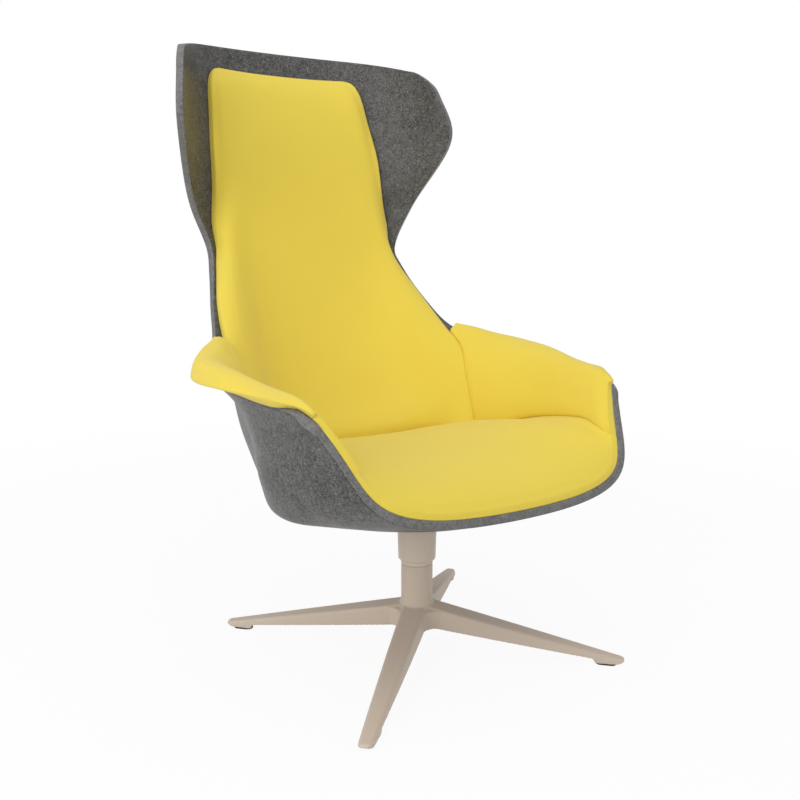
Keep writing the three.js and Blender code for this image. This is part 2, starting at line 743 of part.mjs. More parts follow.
function spindle() {
  const groove = spindleRadius - clipGrooveDepth;
  const bore = spindleBoltDiameter / 2 + fitGap;
  const topZ = clipZ + clipThickness + spindleStandout;
  const boreTopZ = spindleFootZ + spindleBoltDepth + cutOverrun;
  return turned([
    [bore, spindleFootZ],
    [spindleRadius, spindleFootZ],
    [spindleRadius, clipZ - fitGap],
    [groove, clipZ - fitGap],
    [groove, clipZ + clipThickness + fitGap],
    [spindleRadius, clipZ + clipThickness + fitGap],
    [spindleRadius, topZ - clipGrooveDepth],
    [groove, topZ],
    [0, topZ],
    [0, boreTopZ],
    [bore, boreTopZ],
  ], steps.ring);
}

function thrustWasher() {
  const inner = spindleRadius + fitGap;
  const z0 = columnTopZ - thrustWasherThickness;
  return ring(inner, inner + thrustWasherWidth, z0, columnTopZ, steps.ring);
}

function spindleBolt() {
  const headTopZ = hubPocketTopZ - fitGap - spindleBoltWasherThickness - fitGap;
  const head = hexagon(spindleBoltHeadWidth, headTopZ - spindleBoltHeadHeight, headTopZ);
  const shankZ = headTopZ - spindleBoltHeadHeight / 2;
  const tipZ = spindleFootZ + spindleBoltDepth;
  return joined([head, disc(spindleBoltDiameter / 2, shankZ, tipZ, steps.small)]);
}

function spindleBoltWasher() {
  const z1 = hubPocketTopZ - fitGap;
  const inner = spindleBoltDiameter / 2 + fitGap;
  return ring(inner, spindleBoltWasherDiameter / 2, z1 - spindleBoltWasherThickness, z1, steps.ring);
}

function hubCap() {
  const outer = hubPocketDiameter / 2 - fitGap;
  const z1 = hubUnderZ + hubCapThickness;
  return turned([
    [0, hubUnderZ],
    [outer, hubUnderZ],
    [outer, z1 + hubCapLip],
    [outer - hubCapThickness, z1 + hubCapLip],
    [outer - hubCapThickness, z1],
    [0, z1],
  ], steps.ring);
}

// Star base

// One ring of a leg at a distance from the axis: [across, z] points, bottom channel first.
function legSection({ half, top, under, channel }) {
  const corner = Math.min(legEdgeRadius, (top - under) / 2.2, half / 2);
  const inner = Math.max(half - legWall, half / 3);
  const points = [
    [-half, under],
    [-inner, under],
    [-inner + legDraft, under + channel],
    [inner - legDraft, under + channel],
    [inner, under],
    [half, under],
  ];
  const upper = half - legDraft;
  for (const [side, from] of [[1, 0], [-1, Math.PI / 2]])
    for (let k = 0; k <= legEdgeSteps; k++) {
      const turn = from + ((k / legEdgeSteps) * Math.PI) / 2;
      points.push([
        side * (upper - corner) + corner * Math.cos(turn),
        top - corner + corner * Math.sin(turn),
      ]);
    }
  return points;
}

const glideTopZ = glideThickness + fitGap;
const channelShares = [0.27, 0.45, 0.64]; // of the foot circle, where the channel is full

function legSolid() {
  const rootR = columnRadius / 2;
  const tipR = footCircleRadius + toeOverhang;
  const shareAt = (r) => r / footCircleRadius;
  const at = (r, channelShare) => {
    const top = mix(legRootTopZ, legToeTopZ, shareAt(r));
    const under = mix(legRootUnderZ, legToeUnderZ, shareAt(r));
    const half = mix(legRootHalfWidth, legToeHalfWidth, shareAt(r) ** legTaperPower);
    return { r, half, top, under, channel: (top - under - legWall) * channelShare };
  };
  const bossR = footCircleRadius - glideLength / 2 - heelRunout;
  const webReach = legRootHalfWidth + webFilletRadius;
  const channelR = bossR - channelRunout;
  const rings = [rootR, hubRadius + legWall, webReach + channelRunout].map((r) => at(r, 0));
  for (const share of channelShares) rings.push(at(footCircleRadius * share, 1));
  rings.push(at(channelR - legWall, 1), at(channelR, 0), at(bossR, 0));
  const boss = { ...at(bossR + heelRunout, 0), under: glideTopZ };
  const heel = { ...at(footCircleRadius + glideLength / 2, 0), under: glideTopZ };
  const drop = toeOverhang - glideLength / 2;
  rings.push(boss, heel);
  for (const [out, width, lower, raise] of noseShares)
    rings.push({
      r: heel.r + drop * out,
      half: heel.half * width,
      top: heel.top - (heel.top - heel.under) * lower,
      under: heel.under + (heel.top - heel.under) * raise,
      channel: 0,
    });
  rings.at(-1).r = tipR;
  const points = [];
  for (const ringAt of rings)
    for (const [across, z] of legSection(ringAt)) points.push(v3(ringAt.r, across, z));
  return lofted(points, rings.length);
}

// A closed solid through rings of points, each ring a flat end for the first and last.
function lofted(points, count) {
  const size = points.length / count;
  const faces = [];
  for (let j = 0; j + 1 < count; j++)
    for (let i = 0; i < size; i++) {
      const [a, b] = [j * size + i, j * size + ((i + 1) % size)];
      faces.push(a, b, b + size, a, b + size, a + size);
    }
  const flat = points.slice(0, size).map((p) => new THREE.Vector2(p.y, p.z));
  for (const [a, b, c] of THREE.ShapeUtils.triangulateShape(flat, [])) {
    faces.push(a, c, b);
    const last = (count - 1) * size;
    faces.push(last + a, last + b, last + c);
  }
  return indexed(points, faces);
}

// The web that rounds the corners between the legs.
function hubWeb() {
  const shape = new THREE.Shape();
  const half = legRootHalfWidth - legDraft - webInset;
  for (let k = 0; k < 4; k++) {
    const turn = (k * Math.PI) / 2;
    const spot = (x, y) => [
      x * Math.cos(turn) - y * Math.sin(turn),
      x * Math.sin(turn) + y * Math.cos(turn),
    ];
    const reach = half + webFilletRadius;
    if (k) shape.lineTo(...spot(reach, -half));
    else shape.moveTo(...spot(reach, -half));
    shape.lineTo(...spot(reach, half));
    const [cx, cy] = spot(reach, reach);
    shape.absarc(cx, cy, webFilletRadius, turn - Math.PI / 2, turn - Math.PI, true);
  }
  shape.closePath();
  const options = {
    depth: webTopZ - hubUnderZ - 2 * webBevel,
    bevelSize: webBevel,
    bevelOffset: -webBevel,
    bevelThickness: webBevel,
    bevelSegments: 2,
    curveSegments: 2 * steps.corner,
  };
  return new THREE.ExtrudeGeometry(shape, options).translate(0, 0, hubUnderZ + webBevel);
}

const legTurns = { front_right: 0, front_left: 1, rear_left: 2, rear_right: 3 };
const legAngle = (k) => -0.75 * Math.PI + (k * Math.PI) / 2;

function starBase() {
  const profile = [[0, hubUnderZ], [hubRadius, hubUnderZ]];
  for (let k = 0; k <= steps.corner; k++) {
    const turn = (k / steps.corner) * (Math.PI / 2);
    profile.push([
      columnRadius + hubFilletRadius * (1 - Math.sin(turn)),
      webTopZ + hubFilletRadius * (1 - Math.cos(turn)),
    ]);
  }
  profile.push([columnRadius, columnTopZ], [0, columnTopZ]);
  const leg = legSolid();
  const legs = Object.values(legTurns).map((k) => leg.clone().rotateZ(legAngle(k)));
  const web = hubWeb().rotateZ(Math.PI / 4);
  const bore = spindleRadius + fitGap;
  const recess = bore + thrustWasherWidth + fitGap;
  const recessZ = columnTopZ - thrustWasherThickness - fitGap;
  const boltHole = spindleBoltDiameter / 2 + fitGap;
  const openZ = columnTopZ + cutOverrun;
  const cutters = [
    disc(hubPocketDiameter / 2, hubUnderZ - cutOverrun, hubPocketTopZ),
    disc(boltHole, hubPocketTopZ - cutOverrun, spindleFootZ + cutOverrun, steps.small),
    disc(bore, spindleFootZ - fitGap, openZ, steps.ring),
    disc(recess, recessZ, openZ, steps.ring),
  ];
  const stemZ = glideTopZ + glideStemLength;
  const stem = disc(glideStemDiameter / 2 + fitGap, -cutOverrun, stemZ, steps.small);
  for (const k of Object.values(legTurns))
    cutters.push(stem.clone().translate(footCircleRadius, 0, 0).rotateZ(legAngle(k)));
  return cut(joined([turned(profile), web, ...legs]), cutters);
}

function glide() {
  const round = roundedPlate(glideLength, glideWidth, glideWidth / 2 - glideEndFlat);
  const plate = extruded(round, 0, glideThickness);
  const stemTopZ = glideTopZ + glideStemLength - fitGap;
  const stem = disc(glideStemDiameter / 2, glideThickness / 2, stemTopZ, steps.small);
  return joined([plate, stem]).translate(footCircleRadius, 0, 0);
}

// Assembly

const finishes = {
  felt: { color: 0x686764, roughness: 0.95, metalness: 0 },
  fabric: { color: 0xe3c44e, roughness: 0.85, metalness: 0 },
  beige: { color: 0xb8a99a, roughness: 0.45, metalness: 0.1 },
  steel: { color: 0x9a9c9e, roughness: 0.35, metalness: 1 },
  black: { color: 0x202020, roughness: 0.6, metalness: 0 },
  nylon: { color: 0xd9d6cc, roughness: 0.5, metalness: 0 },
  ply: { color: 0xc9a877, roughness: 0.7, metalness: 0 },
};

const chair = new THREE.Group();
const base = new THREE.Group();
const seat = new THREE.Group(); // everything that turns
chair.add(base, seat);

function addPiece(parent, name, finish, geometry) {
  const mesh = new THREE.Mesh(geometry, new THREE.MeshStandardMaterial(finishes[finish]));
  mesh.name = name;
  parent.add(mesh);
  return mesh;
}

addPiece(base, "star_base", "beige", starBase());
for (const [place, k] of Object.entries(legTurns))
  addPiece(base, `glide_${place}`, "black", glide()).rotation.z = legAngle(k);
addPiece(base, "spindle", "steel", spindle());
addPiece(base, "spindle_bolt", "steel", spindleBolt());
addPiece(base, "spindle_bolt_washer", "steel", spindleBoltWasher());
addPiece(base, "hub_cap", "black", hubCap());
addPiece(base, "thrust_washer", "nylon", thrustWasher());
addPiece(base, "retaining_washer", "steel", retainingWasher());
addPiece(base, "retaining_clip", "steel", retainingClip());

addPiece(seat, "turning_sleeve", "beige", turningSleeve());
addPiece(seat, "swivel_collar", "beige", swivelCollar());
addPiece(seat, "lower_bush", "nylon", bush(sleeveBottomZ + fitGap, false));
addPiece(seat, "upper_bush", "nylon", bush(sleeveTopZ - bushLength, true));
addPiece(seat, "seat_plate", "black", seatPlate());
addPiece(seat, "seat_board", "ply", seatBoard());
boltPlaces.forEach(([x, y], k) => {
  addPiece(seat, `seat_bolt_${k + 1}`, "steel", seatBolt()).position.set(x, y, 0);
  addPiece(seat, `tee_nut_${k + 1}`, "steel", teeNut()).position.set(x, y, 0);
});
addPiece(seat, "felt_shell", "felt", feltShell());
addPiece(seat, "seat_cushion", "fabric", seatCushion());
addPiece(seat, "back_cushion", "fabric", backCushion());
addPiece(seat, "arm_pad_left", "fabric", armPad(false));
addPiece(seat, "arm_pad_right", "fabric", armPad(true));

// The origin is the middle of the footprint, on the ground.
const box = new THREE.Box3().setFromObject(chair);
chair.position.set(-(box.min.x + box.max.x) / 2, -(box.min.y + box.max.y) / 2, -box.min.z);

export default chair;
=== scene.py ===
import bpy
import bmesh
import json
import math
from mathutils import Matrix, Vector
from mathutils.bvhtree import BVHTree

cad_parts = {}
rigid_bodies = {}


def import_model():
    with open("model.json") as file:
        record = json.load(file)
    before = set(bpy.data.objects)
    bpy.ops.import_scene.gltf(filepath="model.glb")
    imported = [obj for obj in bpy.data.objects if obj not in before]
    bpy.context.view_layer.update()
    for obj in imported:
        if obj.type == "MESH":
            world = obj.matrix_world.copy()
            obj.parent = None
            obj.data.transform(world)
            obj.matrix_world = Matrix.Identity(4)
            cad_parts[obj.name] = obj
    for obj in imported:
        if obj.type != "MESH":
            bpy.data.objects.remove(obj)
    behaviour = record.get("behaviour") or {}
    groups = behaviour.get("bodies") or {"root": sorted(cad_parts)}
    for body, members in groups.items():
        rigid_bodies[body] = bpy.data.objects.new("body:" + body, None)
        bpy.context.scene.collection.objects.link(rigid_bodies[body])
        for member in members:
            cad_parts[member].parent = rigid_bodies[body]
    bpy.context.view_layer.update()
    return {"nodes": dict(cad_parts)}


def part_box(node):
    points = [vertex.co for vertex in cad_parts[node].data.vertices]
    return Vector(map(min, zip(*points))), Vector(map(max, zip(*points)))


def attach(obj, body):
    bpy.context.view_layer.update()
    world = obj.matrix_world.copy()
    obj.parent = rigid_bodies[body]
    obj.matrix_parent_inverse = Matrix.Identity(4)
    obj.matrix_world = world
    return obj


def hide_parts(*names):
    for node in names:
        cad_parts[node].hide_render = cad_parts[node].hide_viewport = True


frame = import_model()
print("frame loaded:", len(frame["nodes"]), "nodes")


# Handling pieces

copying = {
    "merge": 0.00002,  # metres within which two corners are one
    "quadAngle": 60,  # degrees between two triangles that may make a quad
    "quadShape": 90,  # degrees by which its corners may miss a right angle
}


def pick(piece):
    if bpy.context.object and bpy.context.object.mode != "OBJECT":
        bpy.ops.object.mode_set(mode="OBJECT")
    bpy.ops.object.select_all(action="DESELECT")
    piece.select_set(True)
    bpy.context.view_layer.objects.active = piece


def copyNode(node, name):
    # the node's loose triangles become one closed mesh, of quads where they can
    pick(frame["nodes"][node])
    bpy.ops.object.duplicate()
    piece = bpy.context.object
    piece.name = name
    piece.data.name = name
    bpy.ops.object.parent_clear(type="CLEAR_KEEP_TRANSFORM")
    for key in list(piece.keys()):
        del piece[key]
    piece.data.materials.clear()
    bpy.ops.mesh.customdata_custom_splitnormals_clear()
    bpy.ops.object.mode_set(mode="EDIT")
    bpy.ops.mesh.select_all(action="SELECT")
    bpy.ops.mesh.remove_doubles(threshold=copying["merge"])
    bpy.ops.mesh.tris_convert_to_quads(
        face_threshold=math.radians(copying["quadAngle"]),
        shape_threshold=math.radians(copying["quadShape"]))
    bpy.ops.mesh.select_all(action="DESELECT")
    bpy.ops.object.mode_set(mode="OBJECT")
    return piece


def applyModifier(piece, kind, **values):
    pick(piece)
    modifier = piece.modifiers.new(kind.lower(), kind)
    for key, value in values.items():
        setattr(modifier, key, value)
    bpy.ops.object.modifier_apply(modifier=modifier.name)


def fitCage(piece, levels, passes, share):
    # moves the corners out until the smoothed surface runs through their old places
    mesh = piece.data
    goal = [v.co.copy() for v in mesh.vertices]
    modifier = piece.modifiers.new("fit", "SUBSURF")
    modifier.levels = levels
    modifier.render_levels = levels
    for step in range(passes):
        smooth = piece.evaluated_get(bpy.context.evaluated_depsgraph_get())
        shape = smooth.to_mesh()
        gaps = [goal[k] - shape.vertices[k].co for k in range(len(goal))]
        smooth.to_mesh_clear()
        for vertex, gap in zip(mesh.vertices, gaps):
            vertex.co += gap * share
        mesh.update()
    piece.modifiers.remove(modifier)


def relaxPoints(form, points, steps):
    for step in range(steps):
        bmesh.ops.smooth_vert(
            form, verts=points, factor=0.5, use_axis_x=True, use_axis_y=True, use_axis_z=True)


def rise(value, start, end):
    # 0 up to start, 1 from end on, smooth between them
    share = min(max((value - start) / (end - start), 0.0), 1.0)
    return share * share * (3 - 2 * share)


def bell(value, middle, width):
    return math.exp(-((value - middle) / width) ** 2)


def along(table, y):
    # reads a table of [y, amount] pairs, straight between them
    if y <= table[0][0]:
        return table[0][1]
    for (low, start), (high, end) in zip(table, table[1:]):
        if y <= high:
            return start + (end - start) * (y - low) / (high - low)
    return table[-1][1]


def finishPiece(piece, material, body, slot, *nodes):
    piece.data.materials.clear()
    piece.data.materials.append(material)
    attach(piece, body)
    if nodes:
        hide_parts(*nodes)


# Materials

class Value:
    # a shader value that takes ordinary arithmetic
    def __init__(self, paint, socket):
        self.paint = paint
        self.socket = socket

    def other(self, output):
        # another output of the same node
        return Value(self.paint, self.socket.node.outputs[output])

    def __add__(self, other):
        return self.paint.maths("ADD", self, other)

    def __sub__(self, other):
        return self.paint.maths("SUBTRACT", self, other)

    def __mul__(self, other):
        return self.paint.maths("MULTIPLY", self, other)

    def __truediv__(self, other):
        return self.paint.maths("DIVIDE", self, other)

    def __rsub__(self, other):
        return self.paint.maths("SUBTRACT", other, self)

    __radd__ = __add__


class Paint:
    # the nodes of one material, or of the world
    def __init__(self, owner):
        self.owner = owner
        owner.use_nodes = True
        self.tree = owner.node_tree
        self.tree.nodes.clear()

    def add(self, kind, settings=None, inputs=None, output=0):
        node = self.tree.nodes.new(kind)
        for key, value in (settings or {}).items():
            setattr(node, key, value)
        for key, value in (inputs or {}).items():
            if isinstance(value, Value):
                self.tree.links.new(value.socket, node.inputs[key])
            else:
                node.inputs[key].default_value = value
        return Value(self, node.outputs[output]) if len(node.outputs) else None

    def maths(self, operation, a, b=0.0):
        return self.add("ShaderNodeMath", {"operation": operation}, {0: a, 1: b})

    def place(self):
        # where a point lies on the object, in metres
        return self.add("ShaderNodeTexCoord", output="Object")

    def stretched(self, place, scale):
        return self.add("ShaderNodeMapping", inputs={"Vector": place, "Scale": scale})

    def painted(self, name):
        # what the making of a piece wrote on its mesh, from 0 to 1
        return self.add("ShaderNodeAttribute", {"attribute_name": name}, output="Fac")

    def noise(self, place, scale, detail=2.0, roughness=0.5, distortion=0.0):
        return self.add("ShaderNodeTexNoise", inputs={
            "Vector": place, "Scale": scale, "Detail": detail,
            "Roughness": roughness, "Distortion": distortion})

    def blend(self, amount, a, b):
        a, b = (end if isinstance(end, Value) else (*end, 1) for end in (a, b))
        return self.add("ShaderNodeMix", {"data_type": "RGBA"}, {0: amount, 6: a, 7: b}, 2)

    def ramp(self, amount, low, high):
        # 0 at low, 1 at high
        return self.add("ShaderNodeMapRange", {"clamp": True}, {
            "Value": amount, "From Min": low, "From Max": high})

    def bump(self, height, strength, distance):
        return self.add("ShaderNodeBump", inputs={
            "Height": height, "Strength": strength, "Distance": distance})

    def shade(self, **sockets):
        shader = self.add("ShaderNodeBsdfPrincipled", inputs={
            key.replace("_", " "): value for key, value in sockets.items()})
        self.add("ShaderNodeOutputMaterial", inputs={"Surface": shader})
        return self.owner


feltLook = {
    "dark": (0.012, 0.0118, 0.0113),
    "pale": (0.15, 0.147, 0.142),
    "fleck": (0.56, 0.555, 0.54),
    "cut": (0.24, 0.237, 0.232),  # the cut edge, painted paler: a painted highlight where the edge catches the light
    "cutShare": 0.35,  # of its colour in the darkest felt, and how much more in the palest
    "cutPaleShare": 0.4,
    "mottle": 45,  # patches, per metre
    "blotch": 170,
    "fibre": 380,
    "flecks": 418,
    "mottleShare": 0.3,  # of the summed pattern
    "blotchShare": 0.8,
    "fibreShare": 1.1,
    "toneSpan": (0.93, 1.37),  # of the summed pattern, from dark to pale
    "fleckSpan": (0.6, 0.7),
    "fleckShare": 0.5,
    "bumpStrength": 0.4,
    "bumpDepth": 0.0009,
}


def feltMaterial(name):
    # wool fibres pressed at random: soft patches, short pale fibres and dark gaps
    paint = Paint(bpy.data.materials.new(name))
    place = paint.place()
    mottle = paint.noise(place, feltLook["mottle"], detail=3, roughness=0.55)
    blotch = paint.noise(place, feltLook["blotch"], detail=4, roughness=0.6, distortion=0.8)
    fibre = paint.noise(place, feltLook["fibre"], detail=3, roughness=0.65, distortion=1.6)
    spots = paint.noise(place, feltLook["flecks"], detail=2, roughness=0.6, distortion=1.2)
    flecks = paint.ramp(spots, *feltLook["fleckSpan"])
    tone = mottle * feltLook["mottleShare"] + blotch * feltLook["blotchShare"]
    tone = paint.ramp(tone + fibre * feltLook["fibreShare"], *feltLook["toneSpan"])
    colour = paint.blend(tone, feltLook["dark"], feltLook["pale"])
    colour = paint.blend(flecks * feltLook["fleckShare"], colour, feltLook["fleck"])
    # the cut edge is painted paler, as a painted highlight
    cut = paint.painted("cut") * (feltLook["cutShare"] + tone * feltLook["cutPaleShare"])
    colour = paint.blend(cut, colour, feltLook["cut"])
    height = fibre * 0.6 + blotch * 0.5 + flecks * 0.3
    return paint.shade(
        Base_Color=colour, Roughness=0.4, Specular_IOR_Level=0.4,
        Normal=paint.bump(height, feltLook["bumpStrength"], feltLook["bumpDepth"]))


clothLook = {
    "deep": (0.74, 0.56, 0.055),
    "colour": (0.88, 0.7, 0.1),
    "thread": 0.0011,  # from one thread to the next
    "wander": 90,  # bends of the threads, per metre
    "wanderSize": 0.6,  # in threads
    "yarn": 1500,
    "dye": 7,
    "weaveShare": 0.6,  # of the summed pattern
    "yarnShare": 0.35,
    "dyeShare": 0.12,
    "toneSpan": (0.25, 0.9),
    "bumpStrength": 0.5,
    "bumpDepth": 0.00035,
}


def clothMaterial(name):
    # a fine plain weave, laid on the bias by the pattern that the covers are cut from
    paint = Paint(bpy.data.materials.new(name))
    pattern = paint.add("ShaderNodeUVMap", {"uv_map": "cloth"})
    across = paint.add("ShaderNodeSeparateXYZ", inputs={0: pattern})
    lengthwise = across.other("Y")
    place = paint.place()
    wander = paint.noise(place, clothLook["wander"]) * clothLook["wanderSize"]
    pitch = clothLook["thread"] * math.sqrt(2)
    warp = (across + lengthwise) / pitch + wander
    weft = (across - lengthwise) / pitch + wander
    overWarp = paint.maths("ABSOLUTE", paint.maths("SINE", warp * math.pi))
    overWeft = paint.maths("ABSOLUTE", paint.maths("SINE", weft * math.pi))
    turn = paint.maths("FLOOR", warp) + paint.maths("FLOOR", weft)
    odd = paint.maths("FRACT", turn * 0.5) * 2
    weave = overWarp * odd + overWeft * (1 - odd)
    yarn = paint.noise(place, clothLook["yarn"], detail=2, roughness=0.6)
    dye = paint.noise(place, clothLook["dye"], detail=3)
    tone = weave * clothLook["weaveShare"] + yarn * clothLook["yarnShare"]
    tone = paint.ramp(tone + dye * clothLook["dyeShare"], *clothLook["toneSpan"])
    return paint.shade(
        Base_Color=paint.blend(tone, clothLook["deep"], clothLook["colour"]),
        Roughness=0.85, Sheen_Weight=0.25, Sheen_Roughness=0.4, Specular_IOR_Level=0.25,
        Normal=paint.bump(
            weave * 0.8 + yarn * 0.3, clothLook["bumpStrength"], clothLook["bumpDepth"]))


coatLook = {
    "colour": (0.63, 0.52, 0.415),
    "worn": (0.7, 0.605, 0.51),
    "black": (0.022, 0.022, 0.023),
    "wornBlack": (0.09, 0.09, 0.092),
    "grain": 1100,  # orange peel, per metre
    "cloud": 9,
    "rub": 120,
    "wearSpan": (0.62, 1.5),
    "wearShare": 0.55,
    "bumpDepth": 0.00012,
}


def coatMaterial(name, colour, worn, roughness):
    # powder coat: an even colour with a fine orange peel, rubbed paler on its edges
    paint = Paint(bpy.data.materials.new(name))
    place = paint.place()
    grain = paint.noise(place, coatLook["grain"])
    cloud = paint.noise(place, coatLook["cloud"], detail=3)
    rub = paint.noise(place, coatLook["rub"], detail=3, roughness=0.6)
    touched = paint.painted("edge") * 1.2 + rub * 0.5
    wear = paint.ramp(touched, *coatLook["wearSpan"]) * coatLook["wearShare"]
    tone = paint.blend(paint.ramp(cloud, 0.3, 0.7) * 0.12, colour, worn)
    peel = paint.ramp(grain * 0.4 + cloud * 0.6, 0.2, 0.8) * 0.12
    return paint.shade(
        Base_Color=paint.blend(wear, tone, worn), Metallic=0.0, Specular_IOR_Level=0.4,
        Roughness=peel + (roughness - 0.06) - wear * 0.08,
        Normal=paint.bump(grain, 0.35, coatLook["bumpDepth"]))


steelLook = {
    "colour": (0.62, 0.63, 0.65),
    "dull": 0.82,  # the colour of the clouds against the rest
    "roughness": 0.32,
    "turning": (60, 60, 2400),  # turning lines, per metre along each axis
    "cloud": 160,
    "bumpDepth": 0.00005,
}


def steelMaterial(name):
    # plated steel, with fine turning lines and a few duller clouds
    paint = Paint(bpy.data.materials.new(name))
    place = paint.place()
    lines = paint.noise(paint.stretched(place, steelLook["turning"]), 1)
    cloud = paint.noise(place, steelLook["cloud"], detail=3)
    dull = tuple(c * steelLook["dull"] for c in steelLook["colour"])
    return paint.shade(
        Base_Color=paint.blend(cloud, dull, steelLook["colour"]),
        Metallic=1.0, Roughness=cloud * 0.16 + (steelLook["roughness"] - 0.08),
        Normal=paint.bump(lines, 0.25, steelLook["bumpDepth"]))


plasticLook = {
    "bearing": (0.66, 0.63, 0.56),
    "glide": (0.035, 0.035, 0.037),
    "cap": (0.03, 0.03, 0.032),
    "dull": 0.8,
    "cloud": 45,
    "bumpDepth": 0.0001,
}


def plasticMaterial(name, colour, roughness, grainScale):
    # moulded plastic with a fine spark texture
    paint = Paint(bpy.data.materials.new(name))
    place = paint.place()
    grain = paint.noise(place, grainScale, detail=3, roughness=0.6)
    cloud = paint.noise(place, plasticLook["cloud"])
    dull = tuple(c * plasticLook["dull"] for c in colour)
    return paint.shade(
        Base_Color=paint.blend(cloud, dull, colour), Roughness=grain * 0.2 + (roughness - 0.1),
        Normal=paint.bump(grain, 0.4, plasticLook["bumpDepth"]))


plyLook = {
    "darkGrain": (0.5, 0.33, 0.17),
    "paleGrain": (0.72, 0.54, 0.33),
    "glue": (0.2, 0.1, 0.04),
    "stretch": (14, 260, 14),  # grain lines, per metre along each axis
    "layer": 0.0015,  # thickness of a veneer
    "glueSpan": (0.84, 0.93),  # of a veneer's thickness
}


def plyMaterial(name):
    # birch ply: long grain on the faces and darker glue lines through the thickness
    paint = Paint(bpy.data.materials.new(name))
    place = paint.place()
    drawn = paint.stretched(place, plyLook["stretch"])
    grain = paint.noise(drawn, 1, detail=4, roughness=0.6, distortion=0.6)
    height = paint.add("ShaderNodeSeparateXYZ", inputs={0: place}, output="Z")
    layer = paint.maths("FRACT", height / plyLook["layer"] + grain * 0.15)
    glue = paint.ramp(layer, *plyLook["glueSpan"])
    tone = paint.blend(grain, plyLook["darkGrain"], plyLook["paleGrain"])
    return paint.shade(
        Base_Color=paint.blend(glue * 0.45, tone, plyLook["glue"]),
        Roughness=grain * 0.2 + 0.55, Normal=paint.bump(grain, 0.3, 0.0002))


looks = {
    "felt": feltMaterial("pressedFelt"),
    "cloth": clothMaterial("yellowCloth"),
    "beige": coatMaterial("beigeCoat", coatLook["colour"], coatLook["worn"], roughness=0.5),
    "blackCoat": coatMaterial(
        "blackCoat", coatLook["black"], coatLook["wornBlack"], roughness=0.55),
    "steel": steelMaterial("platedSteel"),
    "bearing": plasticMaterial(
        "bearingNylon", plasticLook["bearing"], roughness=0.5, grainScale=900),
    "glide": plasticMaterial("glidePlastic", plasticLook["glide"], roughness=0.6, grainScale=700),
    "blackPlastic": plasticMaterial(
        "capPlastic", plasticLook["cap"], roughness=0.5, grainScale=900),
    "ply": plyMaterial("birchPly"),
}
print("materials made")


# Felt shell

feltShell = copyNode("felt_shell", "feltShell")

shellMaking = {
    "creaseAngle": 42,  # degrees, what counts as the cut edge of the felt
    "crease": 0.85,  # 1 would leave the cut edge sharp
    "levels": 2,
    "fitPasses": 6,
}
# the round below the arms, in metres: middle and width, where it starts and ends, how far it moves
cornerMaking = {
    "across": (0.285, 0.032),
    "height": (0.318, 0.024),
    "front": (-0.3, -0.22),
    "rear": (-0.09, 0.01),
    "push": 0.0045,  # outwards and down
}
flankMaking = {
    "beyond": (0.2, 0.23),
    "height": (0.37, 0.03),
    "front": (-0.26, -0.18),
    "rear": (-0.06, 0.04),
    "push": 0.0035,  # outwards
}


def squareCorner(piece):
    # the round between the sides and the floor of the shell is pressed a little tighter
    for vertex in piece.data.vertices:
        x, y, z = vertex.co
        corner = bell(abs(x), *cornerMaking["across"]) * bell(z, *cornerMaking["height"])
        corner *= rise(y, *cornerMaking["front"]) * (1 - rise(y, *cornerMaking["rear"]))
        flank = bell(z, *flankMaking["height"]) * rise(abs(x), *flankMaking["beyond"])
        flank *= rise(y, *flankMaking["front"]) * (1 - rise(y, *flankMaking["rear"]))
        outwards = corner * cornerMaking["push"] + flank * flankMaking["push"]
        vertex.co.x += outwards if x > 0 else -outwards
        vertex.co.z -= corner * cornerMaking["push"]


def markCutHighlight(piece):
    # the faces between two sharp edges are the felt's cut edge, marked for its painted highlight
    form = bmesh.new()
    form.from_mesh(piece.data)
    bend = math.radians(shellMaking["creaseAngle"])
    sharp = {e.index for e in form.edges if e.calc_face_angle(0) > bend}
    cut = [float(sum(e.index in sharp for e in face.edges) > 1) for face in form.faces]
    form.free()
    piece.data.attributes.new("cut", "FLOAT", "FACE").data.foreach_set("value", cut)


def makeShell():
    squareCorner(feltShell)
    markCutHighlight(feltShell)
    pick(feltShell)
    bpy.ops.object.mode_set(mode="EDIT")
    bpy.ops.mesh.select_mode(type="EDGE")
    bpy.ops.mesh.edges_select_sharp(sharpness=math.radians(shellMaking["creaseAngle"]))
    bpy.ops.transform.edge_crease(value=shellMaking["crease"])
    bpy.ops.mesh.select_all(action="DESELECT")
    bpy.ops.object.mode_set(mode="OBJECT")
    levels = shellMaking["levels"]
    fitCage(feltShell, levels, shellMaking["fitPasses"], share=1.0)
    applyModifier(feltShell, "SUBSURF", levels=levels, render_levels=levels)
    bpy.ops.object.shade_smooth()


makeShell()
feltTree = BVHTree.FromObject(feltShell, bpy.context.evaluated_depsgraph_get())
finishPiece(feltShell, looks["felt"], "seat", "pressed_felt", "felt_shell")
print("felt shell made:", len(feltShell.data.polygons), "faces")


# Cushions

padMaking = {
    "hemCrease": 1.0,  # where a pad meets the felt
    "rollCrease": 0.35,  # where its border turns into its top
    "foldAngle": 32,  # degrees, what else counts as a fold of the cover
    "foldCrease": 0.45,
    "levels": 2,  # of smoothing before the swelling, and after it
    "lastLevels": 1,
    "fitPasses": 2,
    "fitShare": 0.9,
    "reach": 0.0085,  # how near the felt a backing face lies
    "facing": 0.6,  # how squarely it faces the felt, 1 is fully
    "underside": -0.75,  # how far down a face of the seat looks to lie on the board
    "lift": 0.0002,  # left between a pad and the felt
    "spread": 0.0009,  # by which the borders close the seams
    "frames": 14,  # of the cloth's swelling
}
seatMaking = {
    "relax": 5, "tightness": 0.02, "pressure": 4.0, "cap": 0.005, "smooth": 24, "fill": 0.7}
backMaking = {
    "relax": 14, "tightness": 0.03, "pressure": 4.0, "cap": 0.004, "smooth": 24, "fill": 0.75}
armMaking = {
    "relax": 4, "tightness": 0.02, "pressure": 3.0, "cap": 0.002, "smooth": 24, "fill": 0.8}
